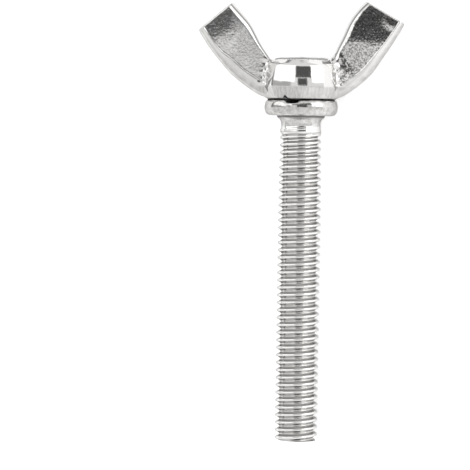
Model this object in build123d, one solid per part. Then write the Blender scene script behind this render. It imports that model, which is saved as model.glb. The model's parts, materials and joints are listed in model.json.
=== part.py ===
from build123d import *
import math
import os

# Riveted wing screw, M4 x 0.7, about 30 mm under the collar, bright plated steel.
#
# Two pieces make it up:
#   threaded_stud  the shank with its thread, a round collar, and above the collar a
#                  pin that goes up through the hub and is peened over in a low dome
#   wing_head      a forged hub with two raised wings, held between collar and dome
#
# Working frame of the shapes below: Z is the screw's axis, from the point up to the
# head, with Z = 0 on the underside of the collar. X runs along the span of the wings
# and Y through their thickness; -Y is the front. At the end both pieces are laid down
# together as they come to rest on a flat floor at Z = 0: on the collar's rim, on the
# end of the thread and on one wing tip.

# ---------------------------------------------------------------- driving dimensions
# thread
MAJOR_D = 3.98          # crest diameter of the M4 coarse thread
PITCH = 0.7
SHANK_L = 30.3          # collar underside to the end of the thread
POINT_D = 3.30          # flat at the end of the thread
POINT_L = 0.42          # length of the chamfered end
NECK_D = 3.67           # plain neck under the collar, the diameter before rolling
NECK_L = 1.35           # plain length, fillet included
RUNOUT_L = 1.75         # over this length the crests rise to full height
NECK_FILLET = 0.50

# collar: its rim is a full, slightly top-heavy round
COLLAR_T = 1.50
COLLAR_RIM = [          # radius, height, from the underside up to the top face
    (2.93, 0.00),
    (3.17, 0.10),
    (3.32, 0.33),
    (3.395, 0.60),
    (3.415, 0.86),
    (3.385, 1.14),
    (3.28, 1.37),
    (3.08, 1.50),
]
COLLAR_LOW_FLAT_R = 2.80
COLLAR_TOP_FLAT_R = 2.95

# pin and its peened dome
PIN_D = 3.40
DOME_D = 5.10
DOME_SEAT_Z = 4.72      # underside of the peened head, on the floor of the hub's recess
DOME_EDGE_Z = 5.33      # where the low dome would meet its upright edge
DOME_TOP_Z = 5.46
DOME_EDGE_FILLET = 0.20

# hub: widest a third of the way up, with a soft edge there
HUB_TOP_Z = 5.25
HUB_RECESS_D = 5.32     # recess that the peened head sits in
HUB_RIM_D = 5.62        # outer edge of the flat rim round the recess
HUB_SHOULDER_D = 6.24   # lower edge of the top chamfer
HUB_SHOULDER_Z = 4.74
HUB_WAIST_D = 7.00      # widest place
HUB_WAIST_Z = 2.80
HUB_FOOT_D = 6.44       # just above the rounded bottom edge
HUB_FOOT_Z = 1.72
HUB_FOOT_FACE_D = 5.96  # flat face on the collar

# wings: stations from the root out to the tip. Each station is the pair of points
# where the wing's middle plane meets its upper edge and its lower edge, as distance
# from the axis and height. The two wings of the forging differ a little.
LEFT_STATIONS = [
    ((2.25, 4.25), (2.20, 1.66)),
    ((2.98, 5.36), (3.50, 1.71)),
    ((3.68, 6.40), (4.97, 2.50)),
    ((4.20, 7.39), (6.42, 3.60)),
    ((4.80, 8.50), (7.76, 5.07)),
    ((5.58, 9.47), (8.79, 6.38)),
    ((6.50, 10.52), (9.72, 7.88)),
]
RIGHT_STATIONS = [
    ((2.25, 4.25), (2.20, 1.66)),
    ((2.92, 5.50), (3.52, 1.71)),
    ((3.38, 6.52), (5.03, 2.63)),
    ((3.83, 7.51), (6.36, 3.79)),
    ((4.28, 8.62), (7.46, 5.31)),
    ((4.92, 9.68), (8.35, 6.65)),
    ((5.88, 10.76), (9.56, 8.68)),
]
WING_T_ROOT = 2.20      # thickness over the two flat faces
WING_T_TIP = 2.06
UPPER_BEVEL_ROOT = 0.36 # in the middle plane, from the upper edge to the flat face
UPPER_BEVEL_TIP = 0.70
UPPER_DRAFT = 0.30      # share of that width taken by the drafted edge itself
UPPER_DRAFT_T = 0.56    # share of the half thickness that the drafted edge takes
LOWER_ROUND_ROOT = 0.74 # the same at the rounded lower edge
LOWER_ROUND_TIP = 0.50
TIP_EDGE_FILLET = 0.12
ROOT_FILLET = 0.50      # between the wings' flat faces and the hub


# ---------------------------------------------------------------- threaded stud
def stud_profile():
    """Closed half section of the stud in the XZ plane, X being the radius."""
    rm, rn, rp, rpin, rd = (d / 2 for d in (MAJOR_D, NECK_D, POINT_D, PIN_D, DOME_D))
    fillet_mid = (
        rn + NECK_FILLET * (1 - math.cos(math.radians(45))),
        -NECK_FILLET * (1 - math.sin(math.radians(45))),
    )
    with BuildSketch(Plane.XZ) as sk:
        with BuildLine():
            Polyline(
                (0, -SHANK_L),
                (rp, -SHANK_L),
                (rm, -SHANK_L + POINT_L),
                (rm, -NECK_L - RUNOUT_L),
                (rn, -NECK_L),
                (rn, -NECK_FILLET),
            )
            ThreePointArc((rn, -NECK_FILLET), fillet_mid, (rn + NECK_FILLET, 0))
            Line((rn + NECK_FILLET, 0), (COLLAR_LOW_FLAT_R, 0))
            Line((COLLAR_LOW_FLAT_R, 0), COLLAR_RIM[0])
            Spline(*COLLAR_RIM, tangents=[(1, 0), (-1, 0)])
            Polyline(
                COLLAR_RIM[-1],
                (COLLAR_TOP_FLAT_R, COLLAR_T),
                (rpin, COLLAR_T),
                (rpin, DOME_SEAT_Z),
                (rd, DOME_SEAT_Z),
                (rd, DOME_EDGE_Z),
            )
            ThreePointArc(
                (rd, DOME_EDGE_Z),
                (rd * 0.55, DOME_EDGE_Z + (DOME_TOP_Z - DOME_EDGE_Z) * (1 - 0.55**2)),
                (0, DOME_TOP_Z),
            )
            Line((0, DOME_TOP_Z), (0, -SHANK_L))
        make_face()
    return sk.sketch


def make_stud():
    solid = revolve(stud_profile(), Axis.Z, 360)
    rim = [
        e
        for e in solid.edges().filter_by(GeomType.CIRCLE)
        if abs(e.radius - DOME_D / 2) < 1e-3
        and abs(e.center(CenterOf.BOUNDING_BOX).Z - DOME_EDGE_Z) < 1e-3
    ]
    return fillet(rim, DOME_EDGE_FILLET)


# ---------------------------------------------------------------- wing head
def hub_profile():
    """Closed half section of the hub, still solid in the middle."""
    with BuildSketch(Plane.XZ) as sk:
        with BuildLine():
            Line((0, COLLAR_T), (HUB_FOOT_FACE_D / 2, COLLAR_T))
            foot = ThreePointArc(
                (HUB_FOOT_FACE_D / 2, COLLAR_T),
                (HUB_FOOT_D / 2 - 0.075, COLLAR_T + 0.065),
                (HUB_FOOT_D / 2, HUB_FOOT_Z),
            )
            Spline(
                (HUB_FOOT_D / 2, HUB_FOOT_Z),
                (HUB_WAIST_D / 2 - 0.085, HUB_WAIST_Z - 0.42),
                (HUB_WAIST_D / 2, HUB_WAIST_Z),
                (HUB_WAIST_D / 2 - 0.065, HUB_WAIST_Z + 0.55),
                (HUB_SHOULDER_D / 2, HUB_SHOULDER_Z),
                tangents=[(0.30, 0.95), (-0.22, 0.97)],
            )
            Polyline(
                (HUB_SHOULDER_D / 2, HUB_SHOULDER_Z),
                (HUB_RIM_D / 2, HUB_TOP_Z),
                (0, HUB_TOP_Z),
                (0, COLLAR_T),
            )
        make_face()
    return sk.sketch


def station_section(upper, lower, share, side):
    """One closed section across a wing: two flat faces, a bevelled and drafted upper
    edge and a round lower edge. share runs from 0 at the root to 1 at the tip."""
    (ux, uz), (lx, lz) = upper, lower
    chord = math.hypot(lx - ux, lz - uz)
    dx, dz = (lx - ux) / chord, (lz - uz) / chord
    h = (WING_T_ROOT + (WING_T_TIP - WING_T_ROOT) * share) / 2
    bevel = UPPER_BEVEL_ROOT + (UPPER_BEVEL_TIP - UPPER_BEVEL_ROOT) * share
    round_ = LOWER_ROUND_ROOT + (LOWER_ROUND_TIP - LOWER_ROUND_ROOT) * share

    def at(c, w):
        return Vector(side * (ux + dx * c), w, uz + dz * c)

    front = [
        at(0, 0),
        at(bevel * UPPER_DRAFT, -h * UPPER_DRAFT_T),
        at(bevel, -h),
        at(chord - round_, -h),
    ]
    back = [
        at(chord - round_, h),
        at(bevel, h),
        at(bevel * UPPER_DRAFT, h * UPPER_DRAFT_T),
        at(0, 0),
    ]
    edges = [Edge.make_line(a, b) for a, b in zip(front, front[1:])]
    edges.append(Edge.make_three_point_arc(front[-1], at(chord, 0), back[0]))
    edges += [Edge.make_line(a, b) for a, b in zip(back, back[1:])]
    return Wire(edges)


def make_wing(stations, side):
    """One wing as a smooth loft from inside the hub out to its flat tip."""
    sections = [
        station_section(upper, lower, max(0.0, (i - 1) / (len(stations) - 2)), side)
        for i, (upper, lower) in enumerate(stations)
    ]
    return Solid.make_loft(sections, ruled=False)


def tip_edges(blade, side, stations):
    (ux, uz), (lx, lz) = stations[-1]
    out = []
    for e in blade.edges():
        c = e.center()
        # distance of the edge's middle from the plane of the tip
        nx, nz = (lz - uz), -(lx - ux)
        n = math.hypot(nx, nz)
        d = abs((side * c.X - ux) * nx / n + (c.Z - uz) * nz / n)
        p = e.position_at(0)
        d0 = abs((side * p.X - ux) * nx / n + (p.Z - uz) * nz / n)
        if d < 0.02 and d0 < 0.02:
            out.append(e)
    return out


def root_edges(head):
    """The four upright edges where the wings' flat faces run into the hub."""
    return [
        e
        for e in head.edges()
        if e.length > 1.5
        and abs(abs(e.center().Y) - WING_T_ROOT / 2) < 0.03
        and HUB_SHOULDER_D / 2 - 0.3 < abs(e.center().X) < HUB_WAIST_D / 2
        and e.center().Z < HUB_SHOULDER_Z
    ]


def make_head():
    head = Part() + revolve(hub_profile(), Axis.Z, 360)
    for side, stations in ((-1, LEFT_STATIONS), (1, RIGHT_STATIONS)):
        blade = make_wing(stations, side)
        head += fillet(tip_edges(blade, side, stations), TIP_EDGE_FILLET)
    head = fillet(root_edges(head), ROOT_FILLET)
    below = Pos(0, 0, COLLAR_T) * Box(30, 30, 5, align=(Align.CENTER, Align.CENTER, Align.MAX))
    bore = Pos(0, 0, COLLAR_T - 1) * Cylinder(
        PIN_D / 2, 10, align=(Align.CENTER, Align.CENTER, Align.MIN)
    )
    recess = Pos(0, 0, DOME_SEAT_Z) * Cylinder(
        HUB_RECESS_D / 2, 10, align=(Align.CENTER, Align.CENTER, Align.MIN)
    )
    return head - below - bore - recess


# ---------------------------------------------------------------- lying at rest
# Laid down, the screw's axis runs along Y with the head towards +Y, the front of the
# wings faces up, and the screw has rolled about its own axis until the tip of the
# right wing (+X) is on the floor. The collar is wider than the thread, so the axis
# rises a little towards the head.
def resting_plane(pitch, roll, origin=(0, 0, 0)):
    """The plane whose Z is the screw's axis and whose X is the span of the wings."""
    cp, sp, cr, sr = math.cos(pitch), math.sin(pitch), math.cos(roll), math.sin(roll)
    axis = (0, cp, sp)
    span = (cr, sr * sp, -sr * cp)
    return Plane(origin=origin, x_dir=span, z_dir=axis)


def lowest_of_rings(rings, pitch):
    """Height of the lowest point of circles about the axis, given as radius and
    height pairs, when the axis rises by that pitch."""
    return min(z * math.sin(pitch) - r * math.cos(pitch) for r, z in rings)


def lowest_of_points(points, pitch, roll):
    cp, sp, cr, sr = math.cos(pitch), math.sin(pitch), math.cos(roll), math.sin(roll)
    return min(-sr * cp * x - cr * cp * y + sp * z for x, y, z in points)


def bisect(f, low, high):
    """Where f, negative at low and positive at high, crosses zero."""
    for _ in range(40):
        mid = (low + high) / 2
        if f(mid) < 0:
            low = mid
        else:
            high = mid
    return (low + high) / 2


def rings_of(section):
    """Radius and height pairs along the outline of a turned half section."""
    return [
        (abs(p.X), p.Z)
        for e in section.edges()
        for p in (e.position_at(i / 40) for i in range(41))
    ]


def settle(head):
    """Pitch, roll and height at which the thread's end, the collar or hub, and the
    right wing's tip are all on the floor."""
    stud_rings = rings_of(stud_profile())
    point = [p for p in stud_rings if p[1] < -SHANK_L + 3]
    middle = [p for p in stud_rings if p[1] > -1] + rings_of(hub_profile())
    tip_faces = [f for f in head.faces() if f.center().X > 6.5]
    wing = [tuple(p) for f in tip_faces for p in f.tessellate(0.01, 0.15)[0]]

    pitch = bisect(
        lambda a: lowest_of_rings(middle, a) - lowest_of_rings(point, a), 0.0, 0.15
    )
    floor = lowest_of_rings(middle, pitch)
    roll = bisect(lambda r: floor - lowest_of_points(wing, pitch, r), 0.0, 0.6)
    return pitch, roll, -floor


def main():
    stud = make_stud()
    head = make_head()
    pitch, roll, height = settle(head)
    there = resting_plane(pitch, roll, (0, 0, height)).location
    box = Compound([stud.moved(there), head.moved(there)]).bounding_box()
    there = Pos(-box.center().X, -box.center().Y, 0) * there
    print(
        f"pitch {math.degrees(pitch):.3f} deg, roll {math.degrees(roll):.3f} deg, "
        f"axis height at the collar's underside {height:.3f} mm, "
        f"collar's underside centre at {tuple(round(v, 4) for v in there.position)}"
    )
    os.makedirs("parts", exist_ok=True)
    for name, shape in (("threaded_stud", stud), ("wing_head", head)):
        solid = shape.moved(there).solids()[0]
        solid.label = name
        b = solid.bounding_box()
        print(
            name,
            f"{solid.volume:.2f} mm3",
            f"x {b.min.X:.3f} {b.max.X:.3f} y {b.min.Y:.3f} {b.max.Y:.3f} "
            f"z {b.min.Z:.3f} {b.max.Z:.3f}",
        )
        export_step(solid, f"parts/{name}.step")


main()
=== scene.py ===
import json
import math

import bpy
import numpy as np
from mathutils import Matrix, Vector

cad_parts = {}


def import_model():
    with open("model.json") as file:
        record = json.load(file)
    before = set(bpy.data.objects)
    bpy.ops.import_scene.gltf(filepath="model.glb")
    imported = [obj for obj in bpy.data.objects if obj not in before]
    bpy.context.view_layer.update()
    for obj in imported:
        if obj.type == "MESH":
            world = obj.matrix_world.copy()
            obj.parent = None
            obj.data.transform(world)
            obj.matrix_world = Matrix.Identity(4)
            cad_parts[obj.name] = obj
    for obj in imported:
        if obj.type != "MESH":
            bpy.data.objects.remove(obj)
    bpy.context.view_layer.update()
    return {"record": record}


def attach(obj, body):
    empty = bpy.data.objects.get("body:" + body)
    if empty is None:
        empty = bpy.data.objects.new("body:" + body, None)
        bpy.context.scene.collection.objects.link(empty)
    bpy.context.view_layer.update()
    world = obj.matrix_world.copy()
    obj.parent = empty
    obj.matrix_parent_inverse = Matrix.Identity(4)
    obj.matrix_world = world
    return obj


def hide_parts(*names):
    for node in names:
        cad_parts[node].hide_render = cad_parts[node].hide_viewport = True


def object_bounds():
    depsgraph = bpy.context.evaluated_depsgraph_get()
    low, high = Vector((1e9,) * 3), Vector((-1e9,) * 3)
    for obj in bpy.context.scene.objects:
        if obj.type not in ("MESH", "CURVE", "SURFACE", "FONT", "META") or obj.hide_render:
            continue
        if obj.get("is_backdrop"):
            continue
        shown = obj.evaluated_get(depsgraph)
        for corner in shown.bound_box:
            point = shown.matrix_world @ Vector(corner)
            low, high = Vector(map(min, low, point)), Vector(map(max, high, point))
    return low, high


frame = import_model()

# ------------------------------------------------------------------ the screw's own frame
# u runs along the span of the wings, v along the axis towards the head, with v = 0 on the
# underside of the collar, and w out of the wings' upper faces. All lengths are millimetres
# here, and metres once a mesh is laid in the row's frame.
mounts = {m["name"]: m for m in frame["record"]["mounts"]}
THREAD, SEAT = mounts["thread"], mounts["collar_seat"]
AXIS = -np.array(THREAD["axis"], float)
AXIS /= np.linalg.norm(AXIS)
POINT_V = -30.3
COLLAR_C = np.array(THREAD["pos_m"], float) + 0.01649 * AXIS
FRONT = np.array(SEAT["pos_m"], float) - COLLAR_C
FRONT -= AXIS * (FRONT @ AXIS)
FRONT /= np.linalg.norm(FRONT)
SPAN = np.cross(AXIS, FRONT)


def world(p):
    """Points given as (u, v, w) in millimetres, in the row's frame in metres."""
    p = np.asarray(p, float)
    return COLLAR_C + 1e-3 * (p[..., 0:1] * SPAN + p[..., 1:2] * AXIS + p[..., 2:3] * FRONT)


def direction(p):
    p = np.asarray(p, float)
    return p[..., 0:1] * SPAN + p[..., 1:2] * AXIS + p[..., 2:3] * FRONT


# ------------------------------------------------------------------ small helpers
def smoothstep(a, b, x):
    t = np.clip((np.asarray(x, float) - a) / (b - a), 0.0, 1.0)
    return t * t * (3 - 2 * t)


def smax(a, b, k):
    h = np.maximum(k - np.abs(a - b), 0.0) / k
    return np.maximum(a, b) + h * h * k * 0.25


def smin(a, b, k):
    return -smax(-a, -b, k)


def lattice(ix, iy, iz, seed):
    """A fixed pseudo-random number in -1..1 for each whole-number point."""
    n = (
        ix.astype(np.uint64) * np.uint64(73856093)
        ^ iy.astype(np.uint64) * np.uint64(19349663)
        ^ iz.astype(np.uint64) * np.uint64(83492791)
        ^ np.uint64(seed * 2654435761 % (1 << 32))
    ) & np.uint64(0xFFFFFFFF)
    n = (n ^ (n >> np.uint64(15))) * np.uint64(2246822519) & np.uint64(0xFFFFFFFF)
    n = (n ^ (n >> np.uint64(13))) * np.uint64(3266489917) & np.uint64(0xFFFFFFFF)
    n = n ^ (n >> np.uint64(16))
    return (n & np.uint64(0xFFFFFF)).astype(float) / float(0xFFFFFF) * 2 - 1


def noise(p, size, seed):
    """Smooth value noise in -1..1 whose lumps are about size wide."""
    q = np.asarray(p, float) / size + 1000.0
    i = np.floor(q)
    f = q - i
    f = f * f * f * (f * (f * 6 - 15) + 10)
    i = i.astype(np.int64)
    out = 0.0
    for dx in (0, 1):
        for dy in (0, 1):
            for dz in (0, 1):
                wgt = (
                    (f[..., 0] if dx else 1 - f[..., 0])
                    * (f[..., 1] if dy else 1 - f[..., 1])
                    * (f[..., 2] if dz else 1 - f[..., 2])
                )
                out = out + wgt * lattice(i[..., 0] + dx, i[..., 1] + dy, i[..., 2] + dz, seed)
    return out


def cubic(ts, ys):
    """Natural cubic spline through (ts, ys), as a function of t."""
    ts, ys = np.asarray(ts, float), np.asarray(ys, float)
    n, h = len(ts), np.diff(ts)
    a, b = np.zeros((n, n)), np.zeros((n,) + ys.shape[1:])
    a[0, 0] = a[-1, -1] = 1
    for i in range(1, n - 1):
        a[i, i - 1], a[i, i], a[i, i + 1] = h[i - 1], 2 * (h[i - 1] + h[i]), h[i]
        b[i] = 6 * ((ys[i + 1] - ys[i]) / h[i] - (ys[i] - ys[i - 1]) / h[i - 1])
    m = np.linalg.solve(a, b)

    def f(t):
        t = np.clip(np.asarray(t, float), ts[0], ts[-1])
        i = np.clip(np.searchsorted(ts, t, side="right") - 1, 0, n - 2)
        d0, d1 = t - ts[i], ts[i + 1] - t
        hi = h[i]
        if ys.ndim > 1:
            d0, d1, hi = d0[..., None], d1[..., None], hi[..., None]
        return (
            m[i] * d1**3 / (6 * hi)
            + m[i + 1] * d0**3 / (6 * hi)
            + (ys[i] / hi - m[i] * hi / 6) * d1
            + (ys[i + 1] / hi - m[i + 1] * hi / 6) * d0
        )

    return f


def make_object(name, points, faces, normals=None, attributes=None):
    """A mesh object from points in the screw's frame, with its place in its vertices."""
    mesh = bpy.data.meshes.new(name)
    pts = world(points)
    mesh.from_pydata(pts.tolist(), [], faces)
    mesh.polygons.foreach_set("use_smooth", np.ones(len(mesh.polygons), bool))
    for key, values in (attributes or {}).items():
        att = mesh.attributes.new(key, "FLOAT", "POINT")
        att.data.foreach_set("value", np.asarray(values, np.float32))
    mesh.update()
    if normals is not None:
        mesh.normals_split_custom_set_from_vertices(direction(normals).tolist())
    obj = bpy.data.objects.new(name, mesh)
    bpy.context.scene.collection.objects.link(obj)
    return obj


# ------------------------------------------------------------------ the stud
MAJOR_R, ROOT_R, NECK_R, PITCH = 1.99, 1.582, 1.835, 0.70
COLUMNS = 96
CREST_V = -6.07  # a crest passes the front of the stud here
RUNOUT_TOP, RUNOUT_LOW = -1.43, -2.10


def thread_radius(v, phi):
    """Radius of the threaded shank at height v and angle phi from the front, in radians."""
    t = (v - CREST_V - PITCH * phi / (2 * math.pi)) / PITCH
    t = np.abs(t - np.round(t)) * PITCH  # distance from the nearest crest, 0 to pitch / 2
    rise = np.clip((-0.98 - v) / 0.47, 0, 1)
    swell = NECK_R + 0.088 * (0.8 * rise + 0.2 * rise * rise * (3 - 2 * rise))
    crest = np.maximum(swell, NECK_R + (MAJOR_R - NECK_R) * (
        0.62 * smoothstep(-1.05, -2.0, v) + 0.38 * smoothstep(-2.0, -6.6, v)
    ))
    root = swell - (swell - ROOT_R) * smoothstep(RUNOUT_TOP, RUNOUT_LOW, v)
    top = np.minimum(t, 0.0996)
    ridge = crest - (0.115 - np.sqrt(0.115**2 - top**2)) - 1.732 * (t - top)
    r = smax(ridge, root, 0.12)
    cone = 1.84 + (v - POINT_V) * 1.1
    return smin(r, cone, 0.03)


def revolve_rows(profile, first):
    """Rows of a turned surface for (radius, v) pairs."""
    ang = np.arange(COLUMNS) * 2 * math.pi / COLUMNS
    rows = []
    for r, v in profile:
        rows.append(np.stack([r * np.sin(ang), np.full(COLUMNS, v), r * np.cos(ang)], 1))
    return rows


def ring_faces(a, b):
    """Quads between two rings of vertex numbers, outward when b is above a."""
    n = len(a)
    return [(a[j], a[(j + 1) % n], b[(j + 1) % n], b[j]) for j in range(n)]


def build_stud():
    ang = np.arange(COLUMNS + 1) * 2 * math.pi / COLUMNS  # the last column is the first again
    offsets = np.array([0, 0.034, 0.067, 0.098, 0.16, 0.22, 0.262, 0.292, 0.322, 0.35])
    offsets = np.concatenate([offsets, 0.70 - offsets[-2:0:-1]])  # one whole pitch, 18 rows
    low, high = POINT_V, -0.95
    k0 = int(math.floor((low - CREST_V) / PITCH)) - 2
    k1 = int(math.ceil((high - CREST_V) / PITCH)) + 2
    base = np.concatenate([CREST_V + k * PITCH + offsets for k in range(k0, k1)])
    per = len(offsets)
    v = base[:, None] + PITCH * ang[None, :] / (2 * math.pi)
    v = np.clip(v, low, high)
    # the column at a full turn is the first column one pitch higher
    key = {}
    points = []

    def vertex(i, j):
        if j == COLUMNS:
            i, j = i + per, 0
        if i >= len(base):
            i = len(base) - 1
        vv = v[i, j]
        name = (j, "low") if vv <= low else (j, "high") if vv >= high else (j, i)
        if name not in key:
            phi = ang[j]
            r = float(thread_radius(vv, phi))
            key[name] = len(points)
            points.append((r * math.sin(phi), vv, r * math.cos(phi)))
        return key[name]

    faces = []
    for i in range(len(base) - 1):
        if v[i].min() >= high and v[i + 1].min() >= high:
            continue
        if v[i].max() <= low and v[i + 1].max() <= low:
            continue
        for j in range(COLUMNS):
            q = [vertex(i, j), vertex(i, j + 1), vertex(i + 1, j + 1), vertex(i + 1, j)]
            f = []
            for x in q:
                if x not in f:
                    f.append(x)
            if len(f) > 2:
                faces.append(tuple(f))
    low_ring = [key[(j, "low")] for j in range(COLUMNS)]
    high_ring = [key[(j, "high")] for j in range(COLUMNS)]

    def add_ring(r, vv, ripple=None):
        start = len(points)
        for j in range(COLUMNS):
            phi = ang[j]
            rr, h = (r, vv) if ripple is None else ripple(r, vv, phi)
            points.append((rr * math.sin(phi), h, rr * math.cos(phi)))
        return list(range(start, start + COLUMNS))

    # flat end of the point, a little dished
    ring = low_ring
    for r, vv in ((1.50, POINT_V - 0.0), (1.35, POINT_V + 0.03), (0.95, POINT_V + 0.06), (0.5, POINT_V + 0.09), (0.2, POINT_V + 0.10)):
        nxt = add_ring(r, vv)
        faces += ring_faces(nxt, ring)
        ring = nxt
    points.append((0, POINT_V + 0.102, 0))
    faces += [(len(points) - 1, ring[(j + 1) % COLUMNS], ring[j]) for j in range(COLUMNS)]

    # neck, fillet, collar, the face under the hub and the pin inside it
    fil = [(NECK_R, -0.80), (1.85, -0.66), (1.88, -0.55), (1.92, -0.455), (1.98, -0.37), (2.06, -0.295),
           (2.15, -0.23), (2.21, -0.17), (2.24, -0.11), (2.25, -0.04), (2.30, -0.006), (2.40, 0.0), (2.60, 0.0), (2.78, 0.0)]
    rim = np.array(
        [(2.80, 0.0), (2.93, 0.0), (3.17, 0.09), (3.33, 0.30), (3.400, 0.54), (3.418, 0.78),
         (3.400, 1.02), (3.345, 1.24), (3.20, 1.43), (3.02, 1.50)]
    )
    seg = np.r_[0, np.cumsum(np.hypot(*np.diff(rim, axis=0).T))]
    rim_f = cubic(seg, rim)
    rim_pts = [tuple(rim_f(s)) for s in np.linspace(seg[1] * 0.6, seg[-2] + (seg[-1] - seg[-2]) * 0.5, 30)]
    prof = fil + rim_pts + [(2.90, 1.497), (2.6, 1.497), (2.2, 1.497), (1.76, 1.497), (1.70, 1.52), (1.70, 2.6), (1.70, 3.7), (1.70, 4.66), (1.78, 4.72), (2.2, 4.722), (2.46, 4.722)]
    dome = [(2.52, 4.735), (2.55, 4.79), (2.552, 4.90), (2.552, 5.02), (2.55, 5.12)]
    for a in range(5, 90, 12):
        t = math.radians(a)
        dome.append((2.35 + 0.20 * math.cos(t), 5.13 + 0.20 * math.sin(t)))
    for r in (2.26, 2.12, 1.95, 1.75, 1.55, 1.35, 1.15, 0.95, 0.75, 0.55, 0.35, 0.17):
        dome.append((r, 5.335 + (5.46 - 5.335) * (1 - (r / 2.36) ** 2)))

    def flawed(r, vv, phi):
        """The rolled collar and the peened dome are not quite true."""
        p = np.array([[r * math.sin(phi), vv, r * math.cos(phi)]])
        if 0.02 < vv < 1.495 and r > 2.7:
            d = 0.010 * float(noise(p, 1.7, 3)[0]) + 0.004 * float(noise(p, 0.55, 4)[0])
            # a nick in the upper edge of the collar, left of the front
            a = math.degrees(math.atan2(math.sin(phi), math.cos(phi)))
            nick = math.exp(-(((a + 14.5) / 8.0) ** 2)) * float(smoothstep(1.12, 1.42, vv))
            cut = math.exp(-(((a + 27) / 2.2) ** 2)) * float(smoothstep(0.75, 1.1, vv)) * 0.03
            return r + d - 0.30 * nick - cut, vv - 0.24 * nick
        if vv > 5.0:
            fade = float(smoothstep(2.55, 2.1, r))
            lift = (0.036 * float(noise(p, 1.05, 11)[0]) + 0.016 * float(noise(p, 0.45, 12)[0])) * (0.12 + 0.88 * fade)
            return r + 0.006 * float(noise(p, 0.8, 13)[0]) * (1 - fade), vv + lift
        return r, vv

    ring = high_ring
    for r, vv in prof + dome:
        nxt = add_ring(r, vv, flawed)
        faces += ring_faces(ring, nxt)
        ring = nxt
    points.append((0, 5.462, 0))
    faces += [(ring[j], ring[(j + 1) % COLUMNS], len(points) - 1) for j in range(COLUMNS)]
    pts = np.array(points)
    r = np.hypot(pts[:, 0], pts[:, 2])
    # painted shade: the groove's walls are painted darker than its crests and its floor
    ang_p = np.arctan2(pts[:, 0], pts[:, 2])
    t = (pts[:, 1] - CREST_V - PITCH * ang_p / (2 * math.pi)) / PITCH
    t = np.abs(t - np.round(t)) * PITCH
    painted_groove_shade = smoothstep(0.125, 0.18, t) * (1 - 0.95 * smoothstep(0.235, 0.290, t))
    painted_groove_shade = painted_groove_shade * smoothstep(-1.2, -1.7, pts[:, 1]) * (pts[:, 1] > POINT_V + 0.02)
    # painted shade on the rim of the point's flat end as well
    painted_groove_shade = np.maximum(painted_groove_shade, smoothstep(POINT_V + 0.14, POINT_V + 0.06, pts[:, 1]) * (r > 1.2))
    # painted shade in the corner under the collar
    under_collar_shade = smoothstep(-0.22, -0.13, pts[:, 1]) * (pts[:, 1] < 0.02) * smoothstep(2.50, 2.32, r) * (r > 1.9)
    # painted shadow in the gap between the collar and the hub, and round the edge of the dome
    gap_shade = np.maximum(smoothstep(1.38, 1.49, pts[:, 1]) * (pts[:, 1] < 1.6) * (r > 2.5), 0)
    gap_shade = np.maximum(gap_shade, smoothstep(2.49, 2.545, r) * (pts[:, 1] > 4.6) * smoothstep(5.24, 5.10, pts[:, 1]))
    gap_shade = np.maximum(gap_shade, 0.9 * under_collar_shade)
    # painted shade: the nick is painted dark, and the peened top of the pin is painted darker towards its edge
    a = np.degrees(ang_p)
    nick = np.exp(-(((a + 14.5) / 6.5) ** 2)) * smoothstep(1.12, 1.25, pts[:, 1]) * (pts[:, 1] < 1.6) * (r > 2.5)
    gap_shade = np.maximum(gap_shade, np.clip(1.4 * nick, 0, 1))
    gap_shade = np.maximum(gap_shade, (0.10 + 0.66 * smoothstep(2.00, 2.36, r)) * smoothstep(5.14, 5.24, pts[:, 1]))
    # bruises on the collar's edge, left of the front
    scar = np.exp(-(((a + 21) / 7.0) ** 2) - ((pts[:, 1] - 0.98) / 0.26) ** 2) * (r > 2.9)
    # the thread's own normals; elsewhere the mesh gives them
    normals = np.zeros_like(pts)
    m = (pts[:, 1] < -1.0) & (pts[:, 1] > POINT_V + 0.05) & (np.abs(r - thread_radius(pts[:, 1], ang_p)) < 1e-4)
    vv, aa, rr, h = pts[m, 1], ang_p[m], r[m], 0.006
    dv = (thread_radius(vv + h, aa) - thread_radius(vv - h, aa)) / (2 * h)
    da = (thread_radius(vv, aa + h) - thread_radius(vv, aa - h)) / (2 * h) / rr
    nn = np.stack([np.sin(aa) - da * np.cos(aa), -dv, np.cos(aa) + da * np.sin(aa)], 1)
    normals[m] = nn / np.linalg.norm(nn, axis=1)[:, None]
    plain = smoothstep(-1.06, -0.86, pts[:, 1]) * smoothstep(5.20, 5.10, pts[:, 1])
    return make_object("threaded_stud_surface", pts, faces, normals=normals, attributes={"painted_groove_shade": painted_groove_shade, "painted_crevice_shade": gap_shade, "plain": plain, "scar": scar})


# ------------------------------------------------------------------ the wing head
LEFT_STATIONS = [
    ((2.25, 4.25), (2.20, 1.66)), ((2.98, 5.36), (3.50, 1.71)), ((3.68, 6.40), (4.97, 2.50)),
    ((4.20, 7.39), (6.42, 3.60)), ((4.80, 8.50), (7.76, 5.07)), ((5.58, 9.47), (8.79, 6.38)),
    ((6.50, 10.52), (9.72, 7.88)),
]
RIGHT_STATIONS = [
    ((2.25, 4.25), (2.20, 1.66)), ((2.92, 5.50), (3.52, 1.71)), ((3.38, 6.52), (5.03, 2.63)),
    ((3.83, 7.51), (6.36, 3.79)), ((4.28, 8.62), (7.46, 5.31)), ((4.92, 9.68), (8.35, 6.65)),
    ((5.88, 10.76), (9.56, 8.68)),
]
T_ROOT, T_TIP = 2.20, 2.06


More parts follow.
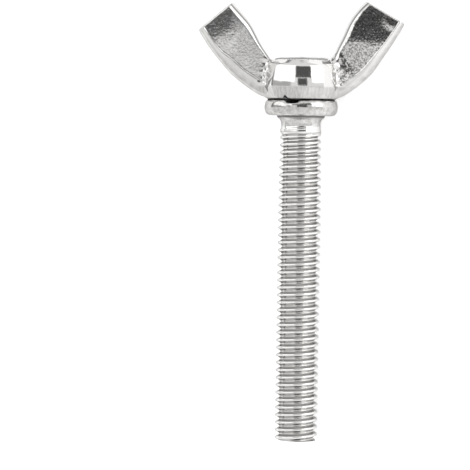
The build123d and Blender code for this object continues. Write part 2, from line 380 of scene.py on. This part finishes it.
class Table:
    """Values on a grid over (a, b), read back with bilinear interpolation."""

    def __init__(self, a0, a1, b0, b1, step, f):
        self.a0, self.b0, self.step = a0, b0, step
        self.na, self.nb = int(round((a1 - a0) / step)) + 1, int(round((b1 - b0) / step)) + 1
        a = a0 + np.arange(self.na) * step
        b = b0 + np.arange(self.nb) * step
        ga, gb = np.meshgrid(a, b, indexing="ij")
        self.v = f(ga.ravel(), gb.ravel()).reshape(self.na, self.nb)

    def __call__(self, a, b):
        x = np.clip((a - self.a0) / self.step, 0, self.na - 1.001)
        y = np.clip((b - self.b0) / self.step, 0, self.nb - 1.001)
        i, j = x.astype(int), y.astype(int)
        fx, fy = x - i, y - j
        v = self.v
        return (
            v[i, j] * (1 - fx) * (1 - fy) + v[i + 1, j] * fx * (1 - fy)
            + v[i, j + 1] * (1 - fx) * fy + v[i + 1, j + 1] * fx * fy
        )


def side_distance(line, inside):
    """Signed distance from a 2-D polyline, positive on the side that holds inside."""
    line = np.asarray(line, float)
    a, b = line[:-1], line[1:]
    ab = b - a
    ln = (ab**2).sum(1)

    def f(x, y):
        out = np.empty(len(x))
        for s in range(0, len(x), 60000):
            p = np.stack([x[s:s + 60000], y[s:s + 60000]], 1)
            best = np.full(len(p), 1e9)
            sign = np.ones(len(p))
            for i in range(len(a)):
                ap = p - a[i]
                t = (ap @ ab[i]) / ln[i]
                lo = -1e9 if i == 0 else 0.0
                hi = 1e9 if i == len(a) - 1 else 1.0
                t = np.clip(t, lo, hi)
                q = ap - t[:, None] * ab[i]
                d = (q**2).sum(1)
                m = d < best
                best = np.where(m, d, best)
                sign = np.where(m, np.sign(ab[i, 0] * ap[:, 1] - ab[i, 1] * ap[:, 0]), sign)
            out[s:s + 60000] = np.sqrt(best) * sign
        return out

    if f(np.array([inside[0]]), np.array([inside[1]]))[0] < 0:
        return lambda x, y: -f(x, y)
    return f


class Wing:
    def __init__(self, stations, seed, ridge, spread, marks=()):
        self.ridge, self.spread, self.marks = ridge, spread, marks
        up = np.array([s[0] for s in stations])
        lo = np.array([s[1] for s in stations])
        mid = (up + lo) / 2
        t = np.r_[0, np.cumsum(np.hypot(*np.diff(mid, axis=0).T))]
        fu, fl, fm = cubic(t, up), cubic(t, lo), cubic(t, mid)
        ts = np.linspace(t[0], t[-1], 49)
        self.seed = seed
        inside = (mid[3] + mid[4]) / 2
        box = (1.0, 11.2, 0.6, 12.0)
        self.c = Table(*box, 0.025, side_distance(fu(ts), inside))
        self.d = Table(*box, 0.025, side_distance(fl(ts), inside))
        self.tip_a, self.tip_b = up[-1], lo[-1]
        n = np.array([self.tip_a[1] - self.tip_b[1], self.tip_b[0] - self.tip_a[0]])
        n /= np.linalg.norm(n)
        if n @ (mid[-1] - mid[-2]) < 0:
            n = -n
        self.n = n
        m = fm(ts)
        share = np.clip((ts - t[1]) / (t[-1] - t[1]), 0, 1)

        def along(x, y):
            out = np.empty(len(x))
            for s in range(0, len(x), 60000):
                d = (x[s:s + 60000, None] - m[None, :, 0]) ** 2 + (y[s:s + 60000, None] - m[None, :, 1]) ** 2
                wgt = np.exp(-(d - d.min(1)[:, None]) / 0.35)
                out[s:s + 60000] = (wgt * share).sum(1) / wgt.sum(1)
            return out

        self.s = Table(*box, 0.1, along)

    def round_width(self, s):
        """How far the rounded lower edge reaches over the wing's face, from root to tip."""
        return 0.90 - 0.36 * s + self.spread * smoothstep(0.64, 0.38, s)

    def __call__(self, u, v, w, p, fine=True):
        c, d, s = self.c(u, v), self.d(u, v), self.s(u, v)
        e = (u - self.tip_a[0]) * self.n[0] + (v - self.tip_a[1]) * self.n[1]
        h = (T_ROOT + (T_TIP - T_ROOT) * s) / 2
        bev = 0.39 + 0.38 * s
        lip = (0.26 + 0.14 * s) * bev
        rnd = self.round_width(s)
        aw = np.abs(w)
        ws = np.sqrt(w * w + 0.05**2) - 0.05
        drop = 0.60 * (bev - lip)
        na = np.hypot(h - drop, lip)
        draft = (-c * (h - drop) + ws * lip) / na
        nb = np.hypot(drop, bev - lip)
        bevel = (-(c - lip) * drop + (aw - h + drop) * (bev - lip)) / nb
        # each forged face is two shallow planes that meet in a soft ridge, and is uneven
        g = (u - self.ridge[0]) * self.ridge[2] + (v - self.ridge[1]) * self.ridge[3]
        crown = np.where(g > 0, self.ridge[4], self.ridge[5]) * (np.sqrt(g * g + 0.12) - 0.346)
        wave = 0.0
        if fine:
            wave = 0.010 * noise(p, 2.6, self.seed) + 0.0030 * noise(p, 0.8, self.seed + 1)
            for x0, y0, dx, dy, rq, rl, height, kind in self.marks:
                q, l = (u - x0) * dx + (v - y0) * dy, (v - y0) * dx - (u - x0) * dy
                shape = np.exp(-((q / rq) ** 2)) if kind == "ridge" else smoothstep(rq, -rq, q)
                wave = wave + height * shape * np.exp(-((l / rl) ** 4))
        # the panel lies a little below the rounded lower edge
        sunk = 0.052 * smoothstep(rnd + 0.00, rnd + 0.12, d)
        face = aw - (h - crown + wave - sunk)
        rad = (h * h + rnd * rnd) / (2 * rnd)
        low = np.where(d < rad, np.sqrt(np.maximum(rad - d, 0) ** 2 + w * w) - rad, aw - rad)
        f = smax(draft, bevel, 0.05)
        f = smax(f, face, 0.07)
        f = smax(f, low, 0.05)
        # tip: flat, with a shallow crease where the two dies met
        crease = 0.05 * np.exp(-((w - 0.15 * np.sin(2.1 * c + self.seed)) / 0.16) ** 2) * smoothstep(0.1, 0.5, c) * smoothstep(0.1, 0.5, d)
        if fine:
            crease = crease + 0.012 * noise(p, 0.8, self.seed + 2)
        # a fine step runs along the edge of the bevel
        step = 0.045 * np.exp(-(((c - lip) / 0.06) ** 2)) * smoothstep(0.25, 0.45, aw)
        f = smax(f + step, e + crease, 0.26)
        return smax(f, 1.95 - u, 0.05)


def hub_radius():
    """The hub's radius by height, from how far its side leans back at each height."""
    lean_v = np.array([1.10, 1.72, 2.30, 2.50, 2.62, 2.70, 2.76, 2.86, 3.15, 3.53, 3.62, 4.05, 4.74, 5.30])
    lean = np.array([-17.5, -17.5, -17.0, -15.0, -11.0, -4.0, 0.0, 0.8, 4.2, 8.6, 10.0, 11.5, 13.2, 13.2])
    v = np.arange(1.10, 5.301, 0.01)
    rise = -np.tan(np.radians(np.interp(v, lean_v, lean)))
    rise = np.convolve(np.pad(rise, 4, mode="edge"), np.ones(9) / 9, mode="valid")
    r = np.r_[0, np.cumsum((rise[1:] + rise[:-1]) / 2 * 0.01)]
    r += 3.487 - r.max()
    return lambda x: np.interp(x, v, r)


HUB_R = hub_radius()
# a ridge is a point on it, the direction across it towards the tip, and the two slopes; a mark
# is a place, the direction across it, its half width and half length, its height and its kind
WINGS = (
    Wing(
        LEFT_STATIONS, 21, (7.75, 7.25, 0.55, 0.83, 0.034, 0.040), 0.30,
        marks=((6.2, 7.4, 0.8, 0.6, 0.30, 1.2, 0.010, "ridge"),),
    ),
    Wing(
        RIGHT_STATIONS, 41, (7.0, 6.95, 0.0, 1.0, 0.034, 0.040), 0.10,
        marks=((4.10, 4.75, 0.84, 0.54, 0.34, 1.25, 0.085, "step"), (7.98, 8.80, 0.77, 0.64, 0.42, 0.75, 0.050, "ridge")),
    ),
)


def hub(u, v, w):
    r = np.hypot(u, w)
    rv = HUB_R(v)
    slope = (HUB_R(v + 0.02) - HUB_R(v - 0.02)) / 0.04
    side = (r - rv) / np.sqrt(1 + slope**2)
    # shoulder chamfer from (3.19, 4.74) to (2.72, 5.25)
    n = np.array([0.51, 0.47]) / math.hypot(0.51, 0.47)
    shoulder = (r - 3.185) * n[0] + (v - 4.74) * n[1]
    # the forging falls away towards the left wing
    shoulder = smax(shoulder, (-u - 2.05) * 0.41 + (v - 5.36) * 0.912, 0.12)
    foot = (r - 3.22) * 0.70 + (1.66 - v) * 0.714
    f = smax(side, shoulder, 0.10)
    f = smax(f, foot, 0.10)
    f = smax(f, v - 5.25, 0.07)
    return smax(f, 1.503 - v, 0.05)


def hub_chip(p):
    """A chip out of the hub's bottom edge, left of the front, and which points are near it."""
    d = p - np.array([-1.22, 1.50, 3.0])
    a, b = 0.90 * d[:, 0] - 0.42 * d[:, 1], 0.42 * d[:, 0] + 0.90 * d[:, 1]
    far = (a / 0.62) ** 2 + (b / 0.17) ** 2 + (d[:, 2] / 0.30) ** 2
    m = far < 12
    return (np.sqrt(far[m]) - 1 + 0.75 * noise(p[m], 0.30, 91)) * 0.17, m


def head_field(p, fine=True):
    u, v, w = p[:, 0], p[:, 1], p[:, 2]
    right_side = u > 0
    blade = np.empty(len(p))
    for wing, m, side in ((WINGS[0], ~right_side, -1), (WINGS[1], right_side, 1)):
        if m.any():
            blade[m] = wing(side * u[m], v[m], w[m], p[m], fine)
    body = hub(u, v, w)
    f = smin(blade, body, 0.42)
    if fine:
        # crumpled metal where the wings' flat faces run into the hub
        wide = np.where(right_side, 0.72, 0.50)
        near = np.exp(-((blade / 0.42) ** 2) - ((body / wide) ** 2)) * smoothstep(1.0, 1.9, np.abs(u)) * smoothstep(2.2, 3.2, v)
        m = near > 0.02
        lumps = np.zeros(len(p))
        if m.any():
            lumps[m] = np.abs(noise(p[m], 0.62, 81)) + 0.5 * np.abs(noise(p[m], 0.33, 82)) - 0.45
        f = f + 0.16 * near * lumps
        m = (np.abs(body) < 0.5) & (np.abs(u) < 4)
        if m.any():
            f[m] += (0.010 * noise(p[m], 1.6, 71) + 0.0030 * noise(p[m], 0.55, 72)) * smoothstep(0.5, 0.2, np.abs(body[m]))
    chip, m = hub_chip(p)
    if m.any():
        f[m] = smax(f[m], -chip, 0.04)
    r = np.hypot(u, w)
    f = np.maximum(f, 1.72 - r)
    recess = np.maximum(r - 2.66, 4.70 - v)
    return smax(f, -recess, 0.05)


def surface_net(field, lo, hi, step):
    """Quads over the zero surface of field, one point for each cell that it crosses."""
    n = [int(math.ceil((b - a) / step)) + 1 for a, b in zip(lo, hi)]
    ax = [lo[i] + np.arange(n[i]) * step for i in range(3)]
    val = np.empty(n, np.float32)
    for i in range(n[0]):
        g = np.stack(np.meshgrid([ax[0][i]], ax[1], ax[2], indexing="ij"), -1).reshape(-1, 3)
        row = field(g, False)
        near = np.abs(row) < 0.22
        if near.any():
            row[near] = field(g[near])
        val[i] = row.reshape(n[1], n[2])
    inside = val < 0
    corner = np.zeros([k - 1 for k in n], np.int32)
    for dx in (0, 1):
        for dy in (0, 1):
            for dz in (0, 1):
                corner += inside[dx:n[0] - 1 + dx, dy:n[1] - 1 + dy, dz:n[2] - 1 + dz]
    active = (corner > 0) & (corner < 8)
    ids = np.full(active.shape, -1, np.int64)
    cells = np.argwhere(active)
    ids[tuple(cells.T)] = np.arange(len(cells))
    pos, cnt = np.zeros((len(cells), 3)), np.zeros(len(cells))
    for axis in range(3):
        others = [a for a in range(3) if a != axis]
        for da in (0, 1):
            for db in (0, 1):
                o = np.zeros(3, int)
                o[others[0]], o[others[1]] = da, db
                a = cells + o
                b = a.copy()
                b[:, axis] += 1
                va, vb = val[tuple(a.T)], val[tuple(b.T)]
                m = (va < 0) != (vb < 0)
                t = np.where(m, va / np.where(m, va - vb, 1), 0)
                q = a.astype(float)
                q[:, axis] += t
                pos[m] += q[m]
                cnt[m] += 1
    pos = pos / cnt[:, None] * step + np.array(lo)
    quads = []
    for axis in range(3):
        o1, o2 = [(1, 2), (2, 0), (0, 1)][axis]
        sl_a = [slice(None)] * 3
        sl_b = [slice(None)] * 3
        sl_a[axis], sl_b[axis] = slice(0, -1), slice(1, None)
        cross = inside[tuple(sl_a)] != inside[tuple(sl_b)]
        e = np.argwhere(cross)
        e = e[(e[:, o1] > 0) & (e[:, o2] > 0) & (e[:, o1] < n[o1] - 1) & (e[:, o2] < n[o2] - 1)]
        first_in = inside[tuple(e.T)]
        c = []
        for d1, d2 in ((1, 1), (0, 1), (0, 0), (1, 0)):
            k = e.copy()
            k[:, o1] -= d1
            k[:, o2] -= d2
            c.append(ids[tuple(k.T)])
        c = np.stack(c, 1)
        c[~first_in] = c[~first_in][:, ::-1]
        quads.append(c)
    return pos, np.concatenate(quads)


def gradient(field, p, h=0.012):
    g = np.empty_like(p)
    for a in range(3):
        d = np.zeros(3)
        d[a] = h
        g[:, a] = (field(p + d) - field(p - d)) / (2 * h)
    return g


def relax(p, quads, share):
    """Moves each point towards the middle of its neighbours."""
    total, cnt = np.zeros_like(p), np.zeros(len(p))
    for a, b in ((0, 1), (1, 2), (2, 3), (3, 0)):
        for s, t in ((a, b), (b, a)):
            np.add.at(total, quads[:, s], p[quads[:, t]])
            np.add.at(cnt, quads[:, s], 1)
    return p + share * (total / np.maximum(cnt, 1)[:, None] - p)


def build_head(step=0.085):
    pos, quads = surface_net(head_field, (-10.1, 1.30, -1.0 - 2.7), (10.1, 11.1, 3.7), step)
    for share in (0.5, 0.45, 0.35, 0.0):
        moved = relax(pos, quads, share) if share else pos
        for _ in range(1 if share else 2):
            g = gradient(head_field, moved)
            f = head_field(moved)
            moved = moved - np.clip(f / np.maximum((g**2).sum(1), 0.09), -0.05, 0.05)[:, None] * g
        pos = moved
    g = gradient(head_field, pos, 0.02)
    normal = g / np.linalg.norm(g, axis=1)[:, None]
    u, v, w = pos.T
    flat = smoothstep(0.86, 0.97, np.abs(normal[:, 2])) * smoothstep(3.2, 3.9, np.abs(u))
    r = np.hypot(u, w)
    # painted shade along the hub's lower edge, where it meets the collar
    shade_mask = smoothstep(1.72, 1.53, v) * (r > 2.4)
    foot = smoothstep(2.80, 2.62, v) * smoothstep(4.6, 3.6, r)
    # a duller strip of the left wing beside its bevel
    dull = smoothstep(2.2, 1.4, WINGS[0].c(-u, v) + 0.25 * noise(pos, 0.9, 55)) * (u < -2.9) * (np.abs(w) > 0.7)
    dull = dull * smoothstep(-6.75, -6.15, u + 0.25 * noise(pos, 0.7, 56))
    rightness = smoothstep(-1.0, 1.0, u)
    band = np.zeros(len(pos))
    chip, m = hub_chip(pos)
    # inside the chip: partly the chip's own dark crust, partly painted shade
    shade_mask[m] = np.maximum(shade_mask[m], smoothstep(0.05, 0.0, chip))
    for wing, side in ((WINGS[0], -1), (WINGS[1], 1)):
        m = side * u > 2.9
        c, s = wing.c(side * u[m], v[m]), wing.s(side * u[m], v[m])
        # painted shade in the fine step along the bevel's edge
        line = np.exp(-(((c - (0.26 + 0.14 * s) * (0.39 + 0.38 * s)) / 0.065) ** 2)) * smoothstep(0.3, 0.5, np.abs(w[m]))
        shade_mask[m] = np.maximum(shade_mask[m], line)
        d = wing.d(side * u[m], v[m])
        wide = wing.round_width(s)
        # painted shade: the rounded lower edge of each wing is darkened in blotches in the material
        band[m] = smoothstep(0.80, 0.30, d / wide) * smoothstep(2.9, 4.2, side * u[m])
        flat[m] = flat[m] * smoothstep(wide - 0.02, wide + 0.06, d)
    # painted shade in the recess round the pin's dome
    shade_mask = np.maximum(shade_mask, smoothstep(2.74, 2.67, r) * (v > 4.6) * smoothstep(5.26, 5.16, v))
    return make_object(
        "wing_head_surface", pos, quads.tolist(), normals=normal,
        attributes={"cast": flat, "painted_crevice_shade": shade_mask, "foot": foot, "dull": dull, "right": rightness, "band": band},
    )


# ------------------------------------------------------------------ materials
def new_material(name):
    m = bpy.data.materials.new(name)
    m.use_nodes = True
    nt = m.node_tree
    nt.nodes.clear()
    out = nt.nodes.new("ShaderNodeOutputMaterial")
    bsdf = nt.nodes.new("ShaderNodeBsdfPrincipled")
    nt.links.new(bsdf.outputs[0], out.inputs[0])
    return m, nt, bsdf


def node(nt, kind, inputs=None, **props):
    n = nt.nodes.new(kind)
    for k, val in props.items():
        setattr(n, k, val)
    for k, val in (inputs or {}).items():
        if isinstance(val, bpy.types.NodeSocket):
            nt.links.new(val, n.inputs[k])
        else:
            n.inputs[k].default_value = val
    return n


def noise_node(nt, coord, scale, detail=3.0, rough=0.55, distortion=0.0):
    return node(nt, "ShaderNodeTexNoise", {"Vector": coord, "Scale": scale, "Detail": detail, "Roughness": rough, "Distortion": distortion}).outputs["Fac"]


def maprange(nt, x, a, b, c, d):
    return node(nt, "ShaderNodeMapRange", {"Value": x, "From Min": a, "From Max": b, "To Min": c, "To Max": d}).outputs["Result"]


def math_node(nt, op, a, b=None):
    ins = {0: a}
    if b is not None:
        ins[1] = b
    return node(nt, "ShaderNodeMath", ins, operation=op).outputs[0]


def mixcolor(nt, fac, a, b):
    n = nt.nodes.new("ShaderNodeMix")
    n.data_type = "RGBA"
    for key, val in ((0, fac), (6, a), (7, b)):
        if isinstance(val, bpy.types.NodeSocket):
            nt.links.new(val, n.inputs[key])
        else:
            n.inputs[key].default_value = val
    return n.outputs[2]


def head_material():
    m, nt, bsdf = new_material("bright_plate_on_forging")
    tc = node(nt, "ShaderNodeTexCoord").outputs["Object"]
    mm = node(nt, "ShaderNodeVectorMath", {0: tc, "Scale": 1000.0}, operation="SCALE").outputs[0]
    cast = node(nt, "ShaderNodeAttribute", attribute_name="cast").outputs["Fac"]
    shade_mask = node(nt, "ShaderNodeAttribute", attribute_name="painted_crevice_shade").outputs["Fac"]
    foot = node(nt, "ShaderNodeAttribute", attribute_name="foot").outputs["Fac"]
    dull = node(nt, "ShaderNodeAttribute", attribute_name="dull").outputs["Fac"]
    right = node(nt, "ShaderNodeAttribute", attribute_name="right").outputs["Fac"]
    band = node(nt, "ShaderNodeAttribute", attribute_name="band").outputs["Fac"]
    gritty = math_node(nt, "MULTIPLY", cast, maprange(nt, right, 0.0, 1.0, 0.30, 1.0))
    broad = noise_node(nt, mm, 0.8, 2.0)
    blotch = noise_node(nt, mm, 1.9, 3.0, 0.6)
    fine = noise_node(nt, mm, 6.5, 5.0, 0.62)
    grain = noise_node(nt, mm, 4.6, 2.0, 0.55)
    speck = noise_node(nt, mm, 6.2, 2.0, 0.6)

    def along(vec, k):
        return math_node(nt, "MULTIPLY", node(nt, "ShaderNodeVectorMath", {0: mm, 1: tuple(vec)}, operation="DOT_PRODUCT").outputs["Value"], k)

    drawn = node(nt, "ShaderNodeCombineXYZ", {0: along(SPAN, 4.5), 1: along(AXIS, 0.55), 2: along(FRONT, 4.5)}).outputs[0]
    streak = noise_node(nt, drawn, 1.0, 3.0, 0.6)
    turned = node(nt, "ShaderNodeCombineXYZ", {0: along(SPAN, 0.9), 1: along(AXIS, 5.5), 2: along(FRONT, 0.9)}).outputs[0]
    wisp = noise_node(nt, turned, 1.0, 2.0, 0.5, 0.6)
    tone = mixcolor(nt, maprange(nt, broad, 0.3, 0.7, 0.0, 1.0), (0.655, 0.648, 0.638, 1), (0.705, 0.70, 0.692, 1))
    tone = mixcolor(nt, maprange(nt, fine, 0.52, 0.75, 0.0, 0.30), tone, (0.55, 0.54, 0.53, 1))
    tone = mixcolor(nt, math_node(nt, "MULTIPLY", foot, maprange(nt, streak, 0.40, 0.66, 0.46, 0.95)), tone, (0.42, 0.41, 0.40, 1))
    tone = mixcolor(nt, math_node(nt, "MULTIPLY", gritty, maprange(nt, speck, 0.42, 0.60, 0.0, 0.92)), tone, (0.24, 0.236, 0.23, 1))
    # painted shade on the wings' rounded lower edges, in blotches
    tone = mixcolor(nt, math_node(nt, "MULTIPLY", band, maprange(nt, blotch, 0.34, 0.66, 0.45, 0.95)), tone, (0.42, 0.413, 0.405, 1))
    # painted shade: near black along the hub's lower edge, in the dome's recess and the bevel's step; in the chip
    # partly the chip's own crust
    tone = mixcolor(nt, math_node(nt, "MULTIPLY", shade_mask, 0.92), tone, (0.07, 0.07, 0.07, 1))
    nt.links.new(tone, bsdf.inputs["Base Color"])
    bsdf.inputs["Metallic"].default_value = 1.0
    bsdf.inputs["Specular Tint"].default_value = (0.80, 0.80, 0.80, 1)
    rough = maprange(nt, fine, 0.3, 0.7, 0.06, 0.11)
    # the flat faces keep the grain of the die, the left one duller beside its bevel
    left = math_node(nt, "MULTIPLY", maprange(nt, right, 0.0, 1.0, 0.05, 0.0), cast)
    rough = math_node(nt, "ADD", rough, math_node(nt, "ADD", left, math_node(nt, "MULTIPLY", math_node(nt, "MULTIPLY", cast, dull), 0.10)))
    nt.links.new(rough, bsdf.inputs["Roughness"])
    h = math_node(nt, "ADD", math_node(nt, "MULTIPLY", fine, 0.08), math_node(nt, "MULTIPLY", math_node(nt, "MULTIPLY", cast, grain), 0.53))
    h = math_node(nt, "ADD", h, math_node(nt, "MULTIPLY", foot, math_node(nt, "MULTIPLY", streak, 0.24)))
    h = math_node(nt, "ADD", h, math_node(nt, "MULTIPLY", wisp, 0.13))
    bump = node(nt, "ShaderNodeBump", {"Height": h, "Strength": 1.0, "Distance": 2.2e-5})
    nt.links.new(bump.outputs[0], bsdf.inputs["Normal"])
    return m


def stud_material():
    m, nt, bsdf = new_material("bright_plate_on_thread")
    tc = node(nt, "ShaderNodeTexCoord").outputs["Object"]
    mm = node(nt, "ShaderNodeVectorMath", {0: tc, "Scale": 1000.0}, operation="SCALE").outputs[0]
    painted_groove_shade = node(nt, "ShaderNodeAttribute", attribute_name="painted_groove_shade").outputs["Fac"]
    shade_mask = node(nt, "ShaderNodeAttribute", attribute_name="painted_crevice_shade").outputs["Fac"]
    plain = node(nt, "ShaderNodeAttribute", attribute_name="plain").outputs["Fac"]
    broad = noise_node(nt, mm, 0.9, 2.0)
    fine = noise_node(nt, mm, 6.0, 4.0, 0.6)
    blotch = noise_node(nt, mm, 2.6, 3.0, 0.62)
    tone = mixcolor(nt, maprange(nt, broad, 0.3, 0.7, 0.0, 1.0), (0.72, 0.713, 0.702, 1), (0.77, 0.765, 0.755, 1))
    tone = mixcolor(nt, math_node(nt, "MULTIPLY", plain, maprange(nt, blotch, 0.34, 0.66, 0.40, 1.0)), tone, (0.43, 0.422, 0.41, 1))
    tone = mixcolor(nt, maprange(nt, fine, 0.55, 0.78, 0.0, 0.35), tone, (0.53, 0.52, 0.505, 1))
    # painted shade on the walls of the thread's grooves
    tone = mixcolor(nt, math_node(nt, "MULTIPLY", painted_groove_shade, 0.76), tone, (0.24, 0.235, 0.23, 1))
    # painted shade: near black in the gaps round the collar and the dome, under the collar and in the nick
    tone = mixcolor(nt, math_node(nt, "MULTIPLY", shade_mask, 0.92), tone, (0.07, 0.07, 0.07, 1))
    nt.links.new(tone, bsdf.inputs["Base Color"])
    bsdf.inputs["Metallic"].default_value = 1.0
    bsdf.inputs["Specular Tint"].default_value = (0.58, 0.58, 0.58, 1)
    nt.links.new(maprange(nt, fine, 0.3, 0.7, 0.05, 0.11), bsdf.inputs["Roughness"])
    scar = node(nt, "ShaderNodeAttribute", attribute_name="scar").outputs["Fac"]
    bruise = math_node(nt, "MULTIPLY", math_node(nt, "MULTIPLY", scar, noise_node(nt, mm, 2.4, 2.0, 0.55)), 14.0)
    h = math_node(nt, "ADD", math_node(nt, "ADD", fine, math_node(nt, "MULTIPLY", math_node(nt, "MULTIPLY", plain, blotch), 1.2)), bruise)
    bump = node(nt, "ShaderNodeBump", {"Height": h, "Strength": 1.0, "Distance": 4.0e-6})
    nt.links.new(bump.outputs[0], bsdf.inputs["Normal"])
    return m


# ------------------------------------------------------------------ build
stud = build_stud()
stud.data.materials.append(stud_material())
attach(stud, "root")
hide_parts("threaded_stud")

head = build_head()
head.data.materials.append(head_material())
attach(head, "root")
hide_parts("wing_head")
print("triangles", sum(len(p.vertices) - 2 for p in stud.data.polygons), sum(len(p.vertices) - 2 for p in head.data.polygons))

# ------------------------------------------------------------------ floor
lo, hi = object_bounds()
mid = (lo + hi) / 2


def floor():
    mesh = bpy.data.meshes.new("floor")
    s = 1.5
    mesh.from_pydata([(-s, -s, 0), (s, -s, 0), (s, s, 0), (-s, s, 0)], [], [(0, 1, 2, 3)])
    obj = bpy.data.objects.new("floor", mesh)
    bpy.context.scene.collection.objects.link(obj)
    m, nt, bsdf = new_material("pale_floor")
    tc = node(nt, "ShaderNodeTexCoord").outputs["Object"]
    n = noise_node(nt, tc, 40.0, 2.0)
    nt.links.new(mixcolor(nt, n, (0.95, 0.95, 0.95, 1), (0.965, 0.965, 0.965, 1)), bsdf.inputs["Base Color"])
    # a translucent light table, so that shadows on it stay pale
    bsdf.inputs["Emission Color"].default_value = (1, 1, 1, 1)
    bsdf.inputs["Emission Strength"].default_value = 0.34
    bsdf.inputs["Roughness"].default_value = 0.9
    bsdf.inputs["Specular IOR Level"].default_value = 0.1
    mesh.materials.append(m)
    obj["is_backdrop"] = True
    return obj


floor()


# ------------------------------------------------------------------ studio
def build_world():
    wd = bpy.data.worlds.new("studio")
    bpy.context.scene.world = wd
    wd.use_nodes = True
    nt = wd.node_tree
    nt.nodes.clear()
    out = nt.nodes.new("ShaderNodeOutputWorld")
    bg = nt.nodes.new("ShaderNodeBackground")
    nt.links.new(bg.outputs[0], out.inputs[0])
    d = node(nt, "ShaderNodeTexCoord").outputs["Generated"]

    def dot(vec):
        return node(nt, "ShaderNodeVectorMath", {0: d, 1: tuple(vec)}, operation="DOT_PRODUCT").outputs["Value"]

    x, y, z = dot(SPAN), dot(AXIS), dot(FRONT)
    deg = 180 / math.pi
    az = math_node(nt, "MULTIPLY", math_node(nt, "ARCTAN2", x, z), deg)
    el = math_node(nt, "MULTIPLY", math_node(nt, "ARCSINE", y), deg)

    def step(val, a, b):
        return node(nt, "ShaderNodeMapRange", {"Value": val, "From Min": a, "From Max": b}, interpolation_type="SMOOTHSTEP").outputs["Result"]

    def band(val, lo_, hi_, soft):
        return math_node(nt, "MULTIPLY", step(val, lo_ - soft, lo_ + soft), step(val, hi_ + soft, hi_ - soft))

    def both(a, b):
        return math_node(nt, "MULTIPLY", a, b)

    def blend(fac, a, b):
        n = nt.nodes.new("ShaderNodeMix")
        for k, val in ((0, fac), (2, a), (3, b)):
            if isinstance(val, bpy.types.NodeSocket):
                nt.links.new(val, n.inputs[k])
            else:
                n.inputs[k].default_value = val
        return n.outputs[0]

    below = blend(step(az, -25.0, 35.0), 1.05, 1.36)
    level = blend(step(el, -24.0, -4.0), below, 1.00)
    # soft boxes, left and right of the camera
    lit = both(step(el, 5.0, 9.0), step(el, 44.0, 38.0))
    level = blend(both(lit, band(az, -98.0, -22.0, 3.0)), level, 1.75)
    level = blend(both(lit, band(az, 34.0, 112.0, 3.0)), level, 3.4)
    # a grey strip low on the left, and the dark edge of the room beyond it
    level = blend(both(band(az, -125.0, -34.0, 4.0), band(el, -1.0, 8.0, 1.2)), level, 0.55)
    level = blend(both(band(az, -118.0, -101.0, 3.0), step(el, -3.0, 3.0)), level, 0.25)
    # dark past the head, and a little past the point
    level = blend(step(el, 84.0, 89.0), level, 0.22)
    level = blend(step(el, -74.0, -84.0), level, 0.40)
    # the dark opening round the camera
    wide = both(band(az, -20.0, 33.0, 1.5), band(el, 18.0, 32.0, 1.2))
    narrow = both(band(az, -12.0, 18.0, 1.5), band(el, 0.8, 16.5, 0.5))
    level = blend(math_node(nt, "MAXIMUM", wide, narrow), level, 0.11)
    nt.links.new(level, bg.inputs["Strength"])
    bg.inputs["Color"].default_value = (1, 1, 1, 1)


build_world()


# ------------------------------------------------------------------ camera
def build_camera():
    """In the screw's frame the camera stands over the hub's foot and looks down on the
    wings' faces, turned a little towards the point."""
    dist, pan, tilt, roll = 300.0, math.radians(-1.13986), math.radians(-2.43943), math.radians(0.88148)
    cam = bpy.data.cameras.new("camera")
    cam.sensor_width = 36.0
    cam.lens = 3218.77 * 36.0 / 470.0
    cam.clip_start, cam.clip_end = 0.01, 10.0
    obj = bpy.data.objects.new("camera", cam)
    bpy.context.scene.collection.objects.link(obj)
    fwd = np.array([math.sin(pan) * math.cos(tilt), math.sin(tilt), -math.cos(pan) * math.cos(tilt)])
    right = np.cross(fwd, [0, 1, 0])
    right /= np.linalg.norm(right)
    up = np.cross(right, fwd)
    c, s = math.cos(roll), math.sin(roll)
    right, up = right * c + up * s, up * c - right * s
    x, y, z = direction(right[None])[0], direction(up[None])[0], -direction(fwd[None])[0]
    o = world(np.array([[0.0, 1.57, dist]]))[0]
    obj.matrix_world = Matrix(((x[0], y[0], z[0], o[0]), (x[1], y[1], z[1], o[1]), (x[2], y[2], z[2], o[2]), (0, 0, 0, 1)))
    bpy.context.scene.camera = obj


build_camera()
bpy.context.scene.view_settings.view_transform = "Standard"
bpy.context.scene.view_settings.look = "None"
